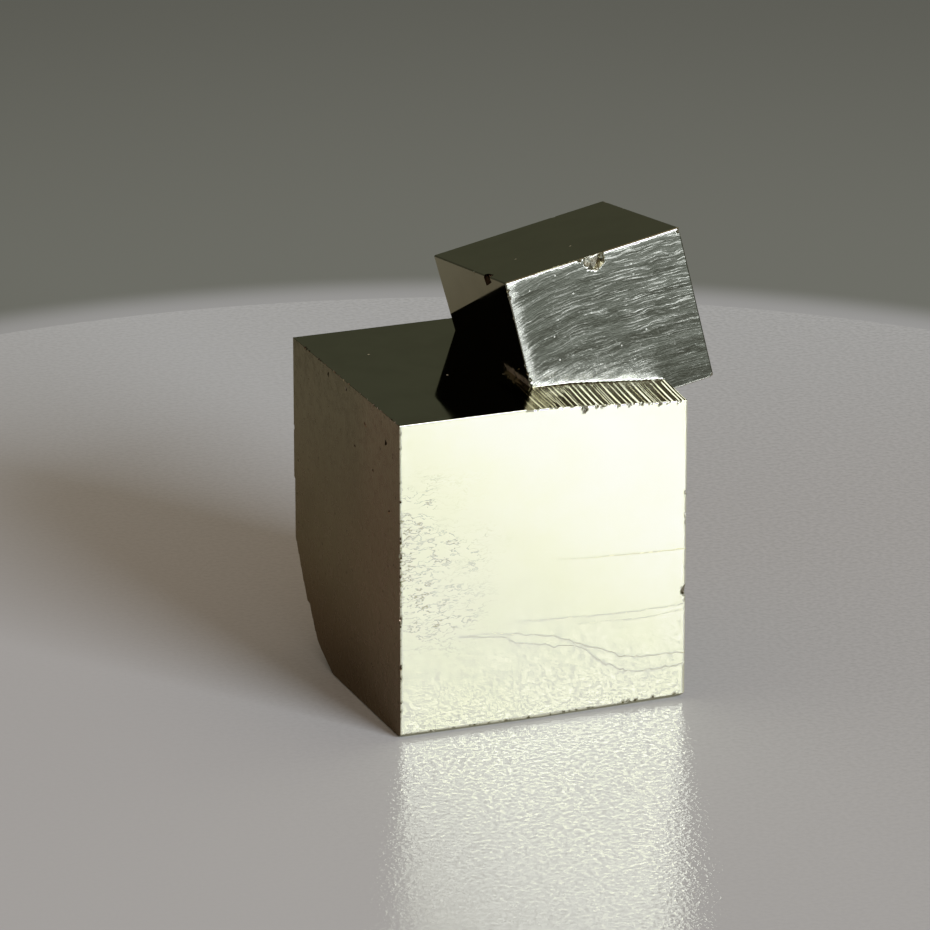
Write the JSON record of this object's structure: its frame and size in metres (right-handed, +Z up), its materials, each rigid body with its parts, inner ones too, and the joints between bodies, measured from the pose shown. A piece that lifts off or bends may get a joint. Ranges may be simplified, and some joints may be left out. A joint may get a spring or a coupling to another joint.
{
  "type": "pyrite cube specimen",
  "caption": "Pyrite specimen: a large cube standing on its base with a smaller tilted cube grown into its top, in bright pale brass-yellow metal lustre.",
  "frame": {"origin": "centre of the large cube's base, on the surface that it stands on", "axes": "+Z up; +X to the right along the front face, towards the overhanging small cube; -Y out of the bright front face"},
  "size_m": [0.0308, 0.0254, 0.0399],
  "materials": {
    "pyrite": "natural mirror-bright crystal faces of pale brass yellow, with striae and growth ledges"
  },
  "bodies": {
    "root": {"pyrite_crystals": "pyrite"}
  },
  "joints": []
}
